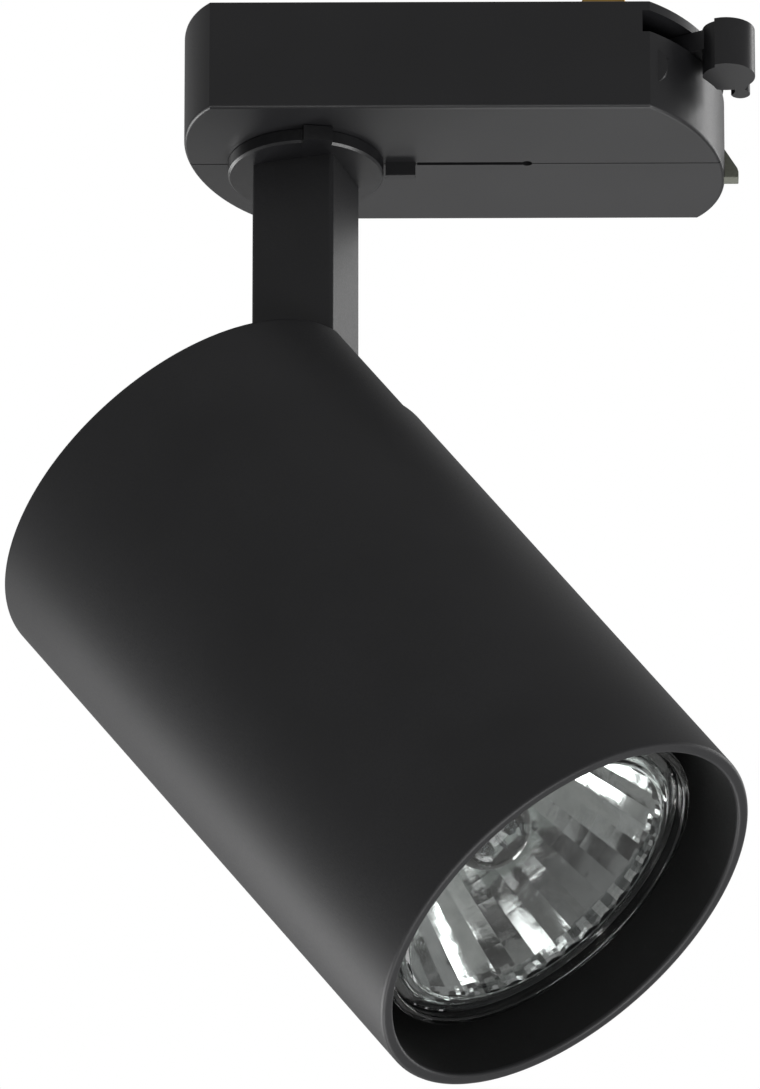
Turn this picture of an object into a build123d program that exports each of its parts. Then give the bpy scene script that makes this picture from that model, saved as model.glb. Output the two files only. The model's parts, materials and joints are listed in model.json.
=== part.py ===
"""A track spotlight: adaptor, swivelling stem, tilting head and twist-lock lamp.

Millimetres, +Z up. The origin is where the swivel axis meets the face that bears on the track.
"""

import os
from math import cos, radians, sin, sqrt

from build123d import *

# ---- driving dimensions ----------------------------------------------------

# adaptor housing: a long box with round ends, leaning a little in plan
housing_height = 16.3
housing_half_width = 17.0
end_short_radius = 13.7
end_long_radius = 21.03
end_lean = -20.2
left_end_x = -1.83
right_end_x = 42.85
long_cut = 200.0
wall = 1.8
roof = 1.5
floor = 2.0
floor_z = -housing_height

# lock lever and its rotor
rotor_x = 41.0
rotor_radius = 4.5
hub_radius = 7.0
arm_width = 6.4
arm_top = -1.65
arm_bottom = -4.6
lever_azimuth = -29.7
lever_slot_bottom = -4.75
lever_slot_from = -73.0
lever_slot_to = 50.0
grip_x, grip_y = 57.65, -10.35
grip_radius = 4.0
grip_bottom = -11.3

# swivel under the adaptor
disc_radius = 10.7
disc_top = floor_z - 0.1
disc_bottom = floor_z - 2.05
nub_azimuth = -81.0
nub_width = 4.0
nub_reach = 12.0
nipple_radius = 5.0
nipple_bore = 3.4

# stem and tilt pivot
stem_size = 11.7
stem_inner = 8.7
pivot_z = -62.7
pin_radius = 2.5

# head: a straight tube with the pivot off its axis
head_azimuth = -18.1
head_tilt = 37.1
head_radius = 30.0
head_wall = 1.8
head_length = 90.0
pivot_depth = 10.0
pivot_offset = 14.0
slot_width = 12.4
slot_length = 16.0
slot_inner = 7.5
cap_thickness = 2.0
chassis_back = 18.0
chassis_thickness = 1.5
ear_inner = 6.45
ear_thickness = 1.5

# lamp, a 50 mm reflector lamp with twist-lock pins, measured from the head's back face
lamp_rim = 83.4
lamp_radius = 25.0
lamp_foot = 37.0
pin_circle = 5.0
pin_head_radius = 2.4
lamp_twist = 25.0

# common screw: shank, clearance hole and head radii, and the cross or slot cut in the head
screw_radius = 1.45
screw_hole = 1.6
screw_head = 2.6
head_height = 1.8
cross_length, cross_width, cross_depth = 3.4, 0.7, 1.0
pilot_radius = 1.2

bore_radius = head_radius - head_wall

# ---- frames ----------------------------------------------------------------

azimuth, tilt = radians(head_azimuth), radians(head_tilt)
level = Vector(cos(azimuth), sin(azimuth), 0)
across = Vector(-sin(azimuth), cos(azimuth), 0)
beam = level * sin(tilt) - Vector(0, 0, 1) * cos(tilt)
slot_side = level * cos(tilt) + Vector(0, 0, 1) * sin(tilt)
pivot = Vector(0, 0, pivot_z)
head_back = pivot - beam * pivot_depth - slot_side * pivot_offset

# head_plane lies on the head's back face: X to the slot, Z along the beam
head_plane = Plane(origin=head_back, x_dir=slot_side, z_dir=beam)
# stem_plane is upright through the stem axis: X level, Y up, its normal along the pivot
stem_plane = Plane(origin=(0, 0, 0), x_dir=level, z_dir=-across)
level_plane = Plane(origin=(0, 0, 0), x_dir=level, z_dir=(0, 0, 1))
# pivot_plane cuts the head through its axis, with the pivot as its normal
pivot_plane = Plane(origin=head_back, x_dir=slot_side, z_dir=across)

os.makedirs("parts", exist_ok=True)


def save(builder, name):
    builder.part.label = name
    export_step(builder.part, f"parts/{name}.step")


# ---- adaptor housing -------------------------------------------------------


def end_tip(inset):
    """Where an end ellipse, drawn inset, has its topmost point, from its centre."""
    short, long, lean = end_short_radius - inset, end_long_radius - inset, radians(end_lean)
    rise = sqrt((short * sin(lean)) ** 2 + (long * cos(lean)) ** 2)
    run = (short**2 - long**2) * sin(lean) * cos(lean) / rise
    return run, rise


def housing_plan(inset):
    """Plan of the housing inside the current sketch: two end ellipses joined and cut to width."""
    run, rise = end_tip(inset)
    with Locations((left_end_x, 0), (right_end_x, 0)):
        Ellipse(end_short_radius - inset, end_long_radius - inset, rotation=end_lean)
    Polygon(
        (left_end_x - run, -rise),
        (right_end_x - run, -rise),
        (right_end_x + run, rise),
        (left_end_x + run, rise),
        align=None,
    )
    Rectangle(long_cut, 2 * (housing_half_width - inset), mode=Mode.INTERSECT)


guide_left, guide_right, guide_half = -7.0, 19.0, 6.0
stop_left, stop_right, stop_half = 10.95, 15.1, 0.6
vent_left, vent_right, vent_half = 15.3, 30.4, 0.4
lug_near, lug_far = 4.7, 6.9
lug_root, lug_nose, lug_top = 54.3, 59.5, -10.9
lug_step = 1.2
lug_bottom = floor_z + 0.2
boss_radius = 3.0
boss_places = ((-2.0, -5.4), (46.6, -9.5))
bush_radius = 7.0
seam_width, seam_depth = 0.2, 0.25
counterbore_depth = 2.4


def housing_shell():
    """The whole housing as one hollow shell, before it is split in two."""
    with BuildSketch(Plane.XY.offset(floor_z)) as outside:
        housing_plan(0)
    extrude(outside.sketch, amount=housing_height)
    fillet(edges().group_by(Axis.Z)[0], radius=0.5)
    fillet(edges().group_by(Axis.Z)[-1], radius=0.3)
    with BuildSketch(Plane.XY.offset(floor_z + floor)) as inside:
        housing_plan(wall)
    extrude(inside.sketch, amount=housing_height - floor - roof, mode=Mode.SUBTRACT)
    # screw bosses across the housing, kept inside its walls
    with BuildSketch(Plane.XZ.offset(-housing_half_width + wall / 2)) as bosses:
        with Locations(*boss_places):
            Circle(boss_radius)
    extrude(bosses.sketch, amount=2 * housing_half_width - wall)


def housing_openings():
    """Every hole that both half shells share."""
    with BuildSketch(Plane.XY.offset(-roof)) as roof_holes:
        with Locations((rotor_x, 0)):
            Circle(rotor_radius + 0.08)
        with Locations(((guide_left + guide_right) / 2, 0)):
            Rectangle(guide_right - guide_left, 2 * guide_half)
    extrude(roof_holes.sketch, amount=roof, mode=Mode.SUBTRACT)
    # the lever's slot is a sector about the rotor, just under the roof
    rotor_axis = Plane(origin=(rotor_x, 0, lever_slot_bottom))
    with BuildSketch(rotor_axis) as lever_slot:
        with BuildLine():
            rim = CenterArc((0, 0), 30, lever_slot_from, lever_slot_to - lever_slot_from)
            Polyline(rim @ 1, (0, 0), rim @ 0)
        make_face()
    extrude(lever_slot.sketch, amount=-roof - lever_slot_bottom, mode=Mode.SUBTRACT)
    with BuildSketch(Plane.XY.offset(floor_z)) as floor_holes:
        Circle(bush_radius)
        with Locations(((stop_left + stop_right) / 2, 0)):
            Rectangle(stop_right - stop_left, 2 * stop_half)
        with Locations(((vent_left + vent_right) / 2, 0)):
            Rectangle(vent_right - vent_left, 2 * vent_half)
        with Locations((vent_right, 0)):
            Circle(0.7)
    extrude(floor_holes.sketch, amount=floor, mode=Mode.SUBTRACT)
    # fine groove along the seam, under the floor
    with BuildSketch(Plane.XY.offset(floor_z)) as seam:
        Rectangle(long_cut, seam_width)
    extrude(seam.sketch, amount=seam_depth, mode=Mode.SUBTRACT)
    # slot in the end wall that the lug stands through
    with BuildSketch(Plane.XZ.offset(-lug_far)) as lug_slot:
        Polygon(*lug_outline(0.05), align=None)
    extrude(lug_slot.sketch, amount=lug_far - lug_near, mode=Mode.SUBTRACT)


def lug_outline(gap):
    """Side outline of the wedge lug, grown by a gap."""
    return (
        (lug_root - gap, lug_bottom - gap),
        (lug_nose + gap, lug_bottom - gap),
        (lug_nose + gap, lug_bottom + lug_step + gap),
        (lug_nose - 2 * lug_step + gap, lug_top + gap),
        (lug_root - gap, lug_top + gap),
    )


half_shells = (("housing_front", Keep.TOP, pilot_radius), ("housing_rear", Keep.BOTTOM, screw_hole))

for name, side, hole in half_shells:
    with BuildPart() as shell:
        housing_shell()
        housing_openings()
        # pilot holes in the front shell stop short of its outer face, the rear ones go through
        depth = housing_half_width - wall if side == Keep.TOP else -housing_half_width
        with BuildSketch(Plane.XZ):
            with Locations(*boss_places):
                Circle(hole)
        extrude(amount=depth, mode=Mode.SUBTRACT)
        if side == Keep.BOTTOM:
            with BuildSketch(Plane.XZ.offset(-housing_half_width)):
                with Locations(*boss_places):
                    Circle(screw_head + 0.15)
            extrude(amount=counterbore_depth, mode=Mode.SUBTRACT)
        split(bisect_by=Plane.XZ, keep=side)
    save(shell, name)

screw_seat = Plane.XZ.offset(-housing_half_width + counterbore_depth)
housing_screw_length = 24.0

for number, place in enumerate(boss_places, 1):
    with BuildPart() as housing_screw:
        with BuildSketch(screw_seat):
            with Locations(place):
                Circle(screw_head)
        extrude(amount=-head_height)
        with BuildSketch(screw_seat):
            with Locations(place):
                Circle(pilot_radius)
        extrude(amount=housing_screw_length)
        with BuildSketch(screw_seat.offset(-head_height)):
            with Locations(place):
                Rectangle(cross_length, cross_width)
                Rectangle(cross_width, cross_length)
        extrude(amount=cross_depth, mode=Mode.SUBTRACT)
    save(housing_screw, f"housing_screw_{number}")

# ---- guide, lug and stop on the housing --------------------------------------

post_left, post_right, post_half = 9.0, 18.0, 4.3
post_height = 6.5
post_corner = 1.2
lip_bottom, lip_width = 4.3, 5.6
foot_margin = 2.0
clip_inset = 2.0
groove_floor, groove_depth = 0.4, 0.65
guide_middle = (guide_left + guide_right) / 2
post_middle = (post_left + post_right) / 2

with BuildPart() as guide_block:
    with BuildSketch(Plane.XY.offset(-roof)):
        with Locations((guide_middle, 0)):
            Rectangle(guide_right - guide_left - 0.1, 2 * guide_half - 0.1)
    extrude(amount=roof)
    with BuildSketch(Plane.XY.offset(-roof - 0.8)):
        with Locations((guide_middle, 0)):
            Rectangle(guide_right - guide_left + foot_margin, 2 * guide_half + foot_margin)
    extrude(amount=0.8)
    with BuildSketch():
        with Locations((post_middle, 0)):
            RectangleRounded(post_right - post_left, 2 * post_half, post_corner)
    extrude(amount=post_height)
    # the hooked lip on the far side catches behind the track's edge
    with BuildSketch(Plane.XY.offset(lip_bottom)):
        with Locations((post_middle, post_half)):
            RectangleRounded(post_right - post_left, lip_width, post_corner)
    extrude(amount=post_height - lip_bottom)
    chamfer(guide_block.faces().sort_by(Axis.Z)[-1].edges(), length=0.5)
    # groove in the near side that the earth clip stands in
    with BuildSketch(Plane.XY.offset(groove_floor)):
        with Locations((post_middle, -post_half)):
            Rectangle(post_right - post_left - 2 * clip_inset + 0.1, 2 * groove_depth)
    extrude(amount=post_height, mode=Mode.SUBTRACT)
save(guide_block, "guide_block")

clip_thickness = 0.5
clip_back = -post_half + groove_depth - clip_thickness / 2 - 0.05

with BuildPart() as earth_clip:
    with BuildSketch(Plane.YZ.offset(post_left + clip_inset)):
        with BuildLine():
            Polyline((clip_back, 0.5), (clip_back, 2.6), (clip_back - 2.2, 4.1), (clip_back - 0.2, 5.8))
        trace(line_width=clip_thickness)
    extrude(amount=post_right - post_left - 2 * clip_inset)
save(earth_clip, "earth_clip")

with BuildPart() as end_lug:
    with BuildSketch(Plane.XZ.offset(-lug_far + 0.05)):
        Polygon(*lug_outline(0), align=None)
    extrude(amount=lug_far - lug_near - 0.1)
    chamfer(end_lug.edges().filter_by(Axis.Y).sort_by(Axis.X)[-1], length=0.3)
save(end_lug, "end_lug")

stop_foot = 1.6

with BuildPart() as swivel_stop:
    with BuildSketch(Plane.XY.offset(disc_bottom)):
        with Locations(((stop_left + stop_right) / 2, 0)):
            Rectangle(stop_right - stop_left - 0.04, 2 * stop_half - 0.04)
    extrude(amount=floor_z + floor - disc_bottom)
    with BuildSketch(Plane.XY.offset(floor_z + floor)):
        with Locations(((stop_left + stop_right) / 2, 0)):
            Rectangle(stop_right - stop_left + stop_foot, 2 * stop_half + stop_foot)
    extrude(amount=1.0)
save(swivel_stop, "swivel_stop")

bush_flange_top = floor_z + floor + 0.8
bush_flange_radius = 8.6

with BuildPart() as floor_bush:
    with BuildSketch(Plane.XY.offset(floor_z + 0.05)):
        Circle(bush_radius - 0.02)
    extrude(amount=floor - 0.05)
    with BuildSketch(Plane.XY.offset(floor_z + floor)):
        Circle(bush_flange_radius)
    extrude(amount=0.8)
    with BuildSketch(Plane.XY.offset(floor_z)):
        Circle(nipple_radius + 0.06)
    extrude(amount=bush_flange_top - floor_z, mode=Mode.SUBTRACT)
save(floor_bush, "floor_bush")

# ---- terminal block ----------------------------------------------------------

block_left, block_right, block_width = 17.0, 30.0, 11.0
block_top = floor_z + floor + 6.4
well_radius, well_depth = 1.35, 4.6
wire_radius, wire_height = 1.1, 2.2
terminal_pitch = 4.2
terminal_places = [((block_left + block_right) / 2 + k * terminal_pitch, 0) for k in (-1, 0, 1)]

with BuildPart() as terminal_block:
    with BuildSketch(Plane.XY.offset(floor_z + floor)):
        with Locations(((block_left + block_right) / 2, 0)):
            Rectangle(block_right - block_left, block_width)
    extrude(amount=block_top - floor_z - floor)
    fillet(terminal_block.edges().filter_by(Axis.Z), radius=0.8)
    # screw wells from above and wire entries from both long sides
    with BuildSketch(Plane.XY.offset(block_top)):
        with Locations(*terminal_places):
            Circle(well_radius)
    extrude(amount=-well_depth, mode=Mode.SUBTRACT)
    with BuildSketch(Plane.XZ.offset(-block_width / 2)):
        with Locations(*[(x, floor_z + floor + wire_height) for x, _ in terminal_places]):
            Circle(wire_radius)
    extrude(amount=block_width, mode=Mode.SUBTRACT)
save(terminal_block, "terminal_block")

terminal_screw_length = 3.6

for number, place in enumerate(terminal_places, 1):
    with BuildPart() as terminal_screw:
        with BuildSketch(Plane.XY.offset(block_top - well_depth + 0.2)):
            with Locations(place):
                Circle(well_radius - 0.1)
        extrude(amount=terminal_screw_length)
        with BuildSketch(Plane.XY.offset(block_top - well_depth + 0.2 + terminal_screw_length)):
            with Locations(place):
                Rectangle(2 * well_radius, 0.5)
        extrude(amount=-0.6, mode=Mode.SUBTRACT)
    save(terminal_screw, f"terminal_screw_{number}")

# ---- lock lever --------------------------------------------------------------

lever_plane = Plane(
    origin=(rotor_x, 0, arm_bottom),
    x_dir=(cos(radians(lever_azimuth)), sin(radians(lever_azimuth)), 0),
    z_dir=(0, 0, 1),
)
arm_thickness = arm_top - arm_bottom
arm_reach = 18.5
grip_edge = 56.05
web_radius = 16.75
web_from, web_to = -50.0, -16.0
flange_thickness = 1.2
hook_x, hook_y = 59.3, -3.9
notch_x, notch_y = 57.2, -7.1


def grip_plan():
    """Plan of the grip inside the current sketch: a round post with a hooked tail."""
    with Locations((grip_x, grip_y)):
        Circle(grip_radius)
    with BuildLine() as tail:
        right = Line((grip_x + grip_radius, grip_y), (hook_x + 0.95, notch_y + 0.7))
        tip = ThreePointArc(right @ 1, (hook_x + 0.1, hook_y), (hook_x - 0.9, hook_y - 1.0))
        notch = ThreePointArc(tip @ 1, (notch_x + 1.2, notch_y - 0.1), (notch_x, notch_y - 0.4))
        Polyline(notch @ 1, (grip_x, grip_y), right @ 0)
    make_face(tail.edges())


with BuildPart() as lock_lever:
    with BuildSketch(lever_plane):
        Circle(hub_radius)
        with Locations((arm_reach / 2, 0)):
            Rectangle(arm_reach, arm_width)
    extrude(amount=arm_thickness)
    # the post is full size to the right of its edge, and steps back a little to the left of it
    with BuildSketch(Plane.XY.offset(grip_bottom)) as post:
        grip_plan()
        with Locations((grip_edge - grip_radius, grip_y)):
            Rectangle(2 * grip_radius, 4 * grip_radius, mode=Mode.SUBTRACT)
        with Locations((grip_x, grip_y)):
            Circle(grip_radius - 0.8)
    extrude(post.sketch, amount=-grip_bottom)
    with BuildSketch(Plane.XY.offset(-flange_thickness)) as flange:
        grip_plan()
        with BuildLine():
            web = CenterArc((rotor_x, 0), web_radius + 2.0, web_from, web_to - web_from)
            inner = CenterArc((rotor_x, 0), web_radius, web_from, web_to - web_from)
            Line(web @ 0, inner @ 0)
            Line(web @ 1, inner @ 1)
        make_face()
    extrude(flange.sketch, amount=flange_thickness)
    # everything outside the wall stays outside its sweep, apart from the arm
    with BuildSketch(Plane.XY.offset(grip_bottom)) as sweep:
        with Locations((rotor_x, 0)):
            Circle(web_radius)
    extrude(sweep.sketch, amount=arm_bottom - grip_bottom, mode=Mode.SUBTRACT)
    with BuildSketch(lever_plane):
        Circle(screw_hole)
    extrude(amount=arm_thickness, mode=Mode.SUBTRACT)
save(lock_lever, "lock_lever")

tongue_bottom, tongue_top = 4.4, 7.0
tongue_half, tongue_thick = 8.2, 7.0
flat_length, flat_width, flat_depth = 6.4, 1.6, 1.4
wing_length, wing_width, wing_thickness = 6.0, 2.4, 0.8
lever_screw_length = 7.0

with BuildPart() as rotor:
    with BuildSketch(Plane.XY.offset(arm_top)):
        with Locations((rotor_x, 0)):
            Circle(rotor_radius)
    extrude(amount=tongue_bottom - arm_top)
    with BuildSketch(Plane.XY.offset(tongue_bottom)):
        with Locations((rotor_x, 0)):
            SlotOverall(2 * tongue_half, tongue_thick, rotation=lever_azimuth + 30)
    extrude(amount=tongue_top - tongue_bottom)
    chamfer(rotor.faces().sort_by(Axis.Z)[-1].edges(), length=0.6)
    with BuildSketch(Plane.XY.offset(arm_top)):
        with Locations((rotor_x, 0)):
            Circle(screw_radius + 0.02)
    extrude(amount=lever_screw_length - arm_thickness, mode=Mode.SUBTRACT)
    # flats that the contact wings lie in
    with BuildSketch(Plane.XY.offset(tongue_top - flat_depth)):
        with Locations((rotor_x, 0)):
            with Locations((0, tongue_thick / 2), (0, -tongue_thick / 2)):
                Rectangle(flat_length, flat_width)
    extrude(amount=flat_depth, mode=Mode.SUBTRACT)
save(rotor, "rotor")

for name, turn in (("contact_live", 1), ("contact_neutral", -1)):
    with BuildPart() as wing:
        with BuildSketch(Plane.XY.offset(tongue_top - flat_depth + 0.1)):
            with Locations((rotor_x, turn * (tongue_thick / 2 + 0.5))):
                RectangleRounded(wing_length, wing_width, 0.8)
        extrude(amount=wing_thickness)
    save(wing, name)

with BuildPart() as lever_screw:
    with BuildSketch(Plane.XY.offset(arm_bottom - head_height)):
        with Locations((rotor_x, 0)):
            Circle(screw_head)
    extrude(amount=head_height)
    with BuildSketch(Plane.XY.offset(arm_bottom)):
        with Locations((rotor_x, 0)):
            Circle(screw_radius)
    extrude(amount=lever_screw_length)
    with BuildSketch(Plane.XY.offset(arm_bottom - head_height)):
        with Locations((rotor_x, 0)):
            Rectangle(cross_length, cross_width)
            Rectangle(cross_width, cross_length)
    extrude(amount=cross_depth, mode=Mode.SUBTRACT)
save(lever_screw, "lever_screw")

# ---- swivel --------------------------------------------------------------------

nipple_top = -8.5
washer_bottom = bush_flange_top + 0.05
nut_bottom = washer_bottom + 0.6
nut_flat = 7.0
nut_height = 3.0
washer_radius = 8.0
spigot_length = 9.0
nub_direction = (cos(radians(nub_azimuth)), sin(radians(nub_azimuth)), 0)
nub_plane = Plane(origin=(0, 0, disc_bottom - 0.25), x_dir=nub_direction, z_dir=(0, 0, 1))
nub_root = disc_radius - 1.5

with BuildPart() as swivel_disc:
    with BuildSketch(Plane.XY.offset(disc_bottom)):
        Circle(disc_radius)
    extrude(amount=disc_top - disc_bottom)
    chamfer(swivel_disc.faces().sort_by(Axis.Z)[0].edges(), length=0.3)
    with BuildSketch(nub_plane):
        with Locations((nub_root, 0)):
            Rectangle(nub_reach - nub_root, nub_width, align=(Align.MIN, Align.CENTER))
    extrude(amount=disc_top - disc_bottom + 0.2)
    with BuildSketch(level_plane.offset(disc_bottom)):
        Rectangle(stem_inner - 0.1, stem_inner - 0.1)
    extrude(amount=-spigot_length)
    with BuildSketch(Plane.XY.offset(disc_bottom)):
        Circle(nipple_radius)
    extrude(amount=disc_top - disc_bottom, mode=Mode.SUBTRACT)
    with BuildSketch(Plane.XY.offset(disc_bottom)):
        Circle(nipple_bore)
    extrude(amount=-spigot_length, mode=Mode.SUBTRACT)
save(swivel_disc, "swivel_disc")

with BuildPart() as swivel_nipple:
    with BuildSketch(Plane.XY.offset(disc_bottom)):
        Circle(nipple_radius)
        Circle(nipple_bore, mode=Mode.SUBTRACT)
    extrude(amount=nipple_top - disc_bottom)
    chamfer(swivel_nipple.edges().group_by(Axis.Z)[-1], length=0.4)
save(swivel_nipple, "swivel_nipple")

with BuildPart() as swivel_washer:
    with BuildSketch(Plane.XY.offset(washer_bottom)):
        Circle(washer_radius)
        Circle(nipple_radius + 0.05, mode=Mode.SUBTRACT)
    extrude(amount=0.6)
save(swivel_washer, "swivel_washer")

with BuildPart() as swivel_nut:
    with BuildSketch(Plane.XY.offset(nut_bottom)):
        RegularPolygon(nut_flat, 6, major_radius=False)
        Circle(nipple_radius, mode=Mode.SUBTRACT)
    extrude(amount=nut_height)
save(swivel_nut, "swivel_nut")

# ---- stem ------------------------------------------------------------------------

bush_outer = 3.4
window_top, window_bottom, window_width = -48.6, -56.6, 5.2

with BuildPart() as stem:
    with BuildSketch(level_plane.offset(pivot_z)):
        RectangleRounded(stem_size, stem_size, 0.6)
    extrude(amount=disc_bottom - pivot_z)
    # rounded lower end, centred on the pivot
    with BuildSketch(stem_plane.offset(-stem_size / 2)):
        with Locations((0, pivot_z)):
            Circle(stem_size / 2)
    extrude(amount=stem_size)
    with BuildSketch(level_plane.offset(pivot_z)):
        Rectangle(stem_inner, stem_inner)
    extrude(amount=disc_bottom - pivot_z, mode=Mode.SUBTRACT)
    with BuildSketch(stem_plane.offset(-stem_inner / 2)):
        with Locations((0, pivot_z)):
            Circle(stem_inner / 2)
    extrude(amount=stem_inner, mode=Mode.SUBTRACT)
    with BuildSketch(stem_plane.offset(-stem_size / 2)):
        with Locations((0, pivot_z)):
            Circle(bush_outer)
    extrude(amount=stem_size, mode=Mode.SUBTRACT)
    # window where the leads leave towards the lampholder
    with BuildSketch(stem_plane.offset(-window_width / 2)):
        with Locations((-stem_size / 2, (window_top + window_bottom) / 2)):
            Rectangle(2 * (stem_size - stem_inner), window_top - window_bottom)
    extrude(amount=window_width, mode=Mode.SUBTRACT)
save(stem, "stem")

with BuildPart() as pivot_bush:
    with BuildSketch(stem_plane.offset(-stem_size / 2)):
        with Locations((0, pivot_z)):
            Circle(bush_outer)
            Circle(pin_radius + 0.06, mode=Mode.SUBTRACT)
    extrude(amount=stem_size)
save(pivot_bush, "pivot_bush")

lead_radius = 1.1
lead_spread = 1.5

for number, side in enumerate((1, -1), 1):
    with BuildPart() as stem_lead:
        with BuildSketch(level_plane.offset(window_bottom + 1)):
            with Locations((0, side * lead_spread)):
                Circle(lead_radius)
        extrude(amount=nipple_top - window_bottom - 1)
    save(stem_lead, f"stem_lead_{number}")

# ---- head tube and back cap ---------------------------------------------------------

screw_turns = (-60, -120)
tube_screw_z = 22.0
rim_flange = 7.0
post_places = ((-12.0, 14.0), (-12.0, -14.0))
post_radius = 2.6


def slot_cut():
    """The slot for the stem, cut through whatever lies between its inner end and the outside."""
    with BuildSketch(head_plane.offset(-3)) as slot:
        with Locations((slot_inner, 0)):
            Rectangle(head_radius + 5 - slot_inner, slot_width, align=(Align.MIN, Align.CENTER))
    extrude(slot.sketch, amount=slot_length + 3, mode=Mode.SUBTRACT)


def radial_plane(turn, along):
    """A plane on the head's axis, its normal pointing out at the given turn about that axis."""
    outward = head_plane.x_dir * cos(radians(turn)) + head_plane.y_dir * sin(radians(turn))
    return Plane(origin=head_back + beam * along, x_dir=beam, z_dir=outward)


with BuildPart() as head_tube:
    with BuildSketch(head_plane):
        Circle(head_radius)
        Circle(bore_radius, mode=Mode.SUBTRACT)
    extrude(amount=head_length)
    fillet(head_tube.edges().filter_by(GeomType.CIRCLE), radius=0.35)
    slot_cut()
    for turn in screw_turns:
        with BuildSketch(radial_plane(turn, tube_screw_z).offset(bore_radius - 2)):
            Circle(screw_hole)
        extrude(amount=head_wall + 4, mode=Mode.SUBTRACT)
save(head_tube, "head_tube")

cap_outside = 0.3

with BuildPart() as back_cap:
    with BuildSketch(head_plane.offset(cap_outside)):
        Circle(bore_radius - 0.05)
        with Locations(*post_places):
            Circle(screw_hole, mode=Mode.SUBTRACT)
    extrude(amount=cap_thickness)
    slot_cut()
save(back_cap, "back_cap")

# ---- pivot bracket: a disc across the bore with two ears that hold the pivot -----------

lead_hole = 7.2
ear_radius = 5.4
holder_screw_places = ((10.0, 0), (-10.0, 0))

with BuildPart() as pivot_bracket:
    with BuildSketch(head_plane.offset(chassis_back)):
        Circle(bore_radius - 0.03)
    extrude(amount=rim_flange)
    with BuildSketch(head_plane.offset(chassis_back + chassis_thickness)):
        Circle(bore_radius - 0.03 - chassis_thickness)
    extrude(amount=rim_flange, mode=Mode.SUBTRACT)
    with BuildSketch(head_plane.offset(chassis_back)):
        Circle(lead_hole)
        with Locations(*holder_screw_places, *post_places):
            Circle(screw_hole)
    extrude(amount=chassis_thickness, mode=Mode.SUBTRACT)
    for near_face in (ear_inner, -ear_inner - ear_thickness):
        with BuildSketch(pivot_plane.offset(near_face)):
            with Locations((pivot_offset, pivot_depth)):
                Circle(ear_radius)
            with Locations((pivot_offset, (pivot_depth + chassis_back) / 2)):
                Rectangle(2 * ear_radius, chassis_back - pivot_depth)
            with Locations((pivot_offset, pivot_depth)):
                Circle(pin_radius + 0.02, mode=Mode.SUBTRACT)
        extrude(amount=ear_thickness)
    for turn in screw_turns:
        with BuildSketch(radial_plane(turn, tube_screw_z).offset(bore_radius - 4)):
            Circle(screw_radius + 0.02)
        extrude(amount=head_wall + 4, mode=Mode.SUBTRACT)
save(pivot_bracket, "pivot_bracket")

pin_head_at = ear_inner + ear_thickness
pin_head, pin_head_height = 4.2, 2.4
pin_nut_flat, pin_nut_height = 4.0, 3.2
pin_tail = 4.0
socket_flat, socket_depth = 1.5, 1.5

with BuildPart() as pivot_pin:
    with BuildSketch(pivot_plane.offset(-pin_head_at - pin_tail)):
        with Locations((pivot_offset, pivot_depth)):
            Circle(pin_radius)
    extrude(amount=2 * pin_head_at + pin_tail)
    with BuildSketch(pivot_plane.offset(pin_head_at)):
        with Locations((pivot_offset, pivot_depth)):
            Circle(pin_head)
    extrude(amount=pin_head_height)
    with BuildSketch(pivot_plane.offset(pin_head_at + pin_head_height)):
        with Locations((pivot_offset, pivot_depth)):
            RegularPolygon(socket_flat, 6, major_radius=False)
    extrude(amount=-socket_depth, mode=Mode.SUBTRACT)
save(pivot_pin, "pivot_pin")

with BuildPart() as pivot_nut:
    with BuildSketch(pivot_plane.offset(-pin_head_at)):
        with Locations((pivot_offset, pivot_depth)):
            RegularPolygon(pin_nut_flat, 6, major_radius=False)
            Circle(pin_radius + 0.02, mode=Mode.SUBTRACT)
    extrude(amount=-pin_nut_height)
save(pivot_nut, "pivot_nut")

washer_gap = 0.02
friction_washer_radius = 5.0

for number, start in enumerate((stem_size / 2 + washer_gap, -ear_inner + washer_gap), 1):
    with BuildPart() as friction_washer:
        with BuildSketch(pivot_plane.offset(start)):
            with Locations((pivot_offset, pivot_depth)):
                Circle(friction_washer_radius)
                Circle(pin_radius + 0.03, mode=Mode.SUBTRACT)
        extrude(amount=ear_inner - stem_size / 2 - 2 * washer_gap)
    save(friction_washer, f"friction_washer_{number}")

cap_inside = cap_outside + cap_thickness
cap_head_height = 1.5
post_thread = 9.0
cap_screw_reach = 7.0

for number, place in enumerate(post_places, 1):
    with BuildPart() as cap_post:
        with BuildSketch(head_plane.offset(cap_inside)):
            with Locations(place):
                Circle(post_radius)
        extrude(amount=chassis_back - cap_inside)
        with BuildSketch(head_plane.offset(cap_inside)):
            with Locations(place):
                Circle(screw_radius + 0.02)
        extrude(amount=post_thread, mode=Mode.SUBTRACT)
        with BuildSketch(head_plane.offset(chassis_back)):
            with Locations(place):
                Circle(screw_radius)
        extrude(amount=chassis_thickness)
    save(cap_post, f"cap_post_{number}")
    with BuildPart() as cap_screw:
        with BuildSketch(head_plane.offset(cap_outside)):
            with Locations(place):
                Circle(screw_head)
        extrude(amount=-cap_head_height)
        with BuildSketch(head_plane.offset(cap_outside)):
            with Locations(place):
                Circle(screw_radius)
        extrude(amount=cap_thickness + cap_screw_reach)
        with BuildSketch(head_plane.offset(cap_outside - cap_head_height)):
            with Locations(place):
                Rectangle(cross_length, cross_width)
                Rectangle(cross_width, cross_length)
        extrude(amount=0.9 * cross_depth, mode=Mode.SUBTRACT)
    save(cap_screw, f"cap_screw_{number}")

tube_head_from, tube_head_to = head_radius + 0.15, head_radius + 1.65
tube_screw_end = bore_radius - 3.0
key_flat, key_depth = 1.1, 0.9

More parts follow.
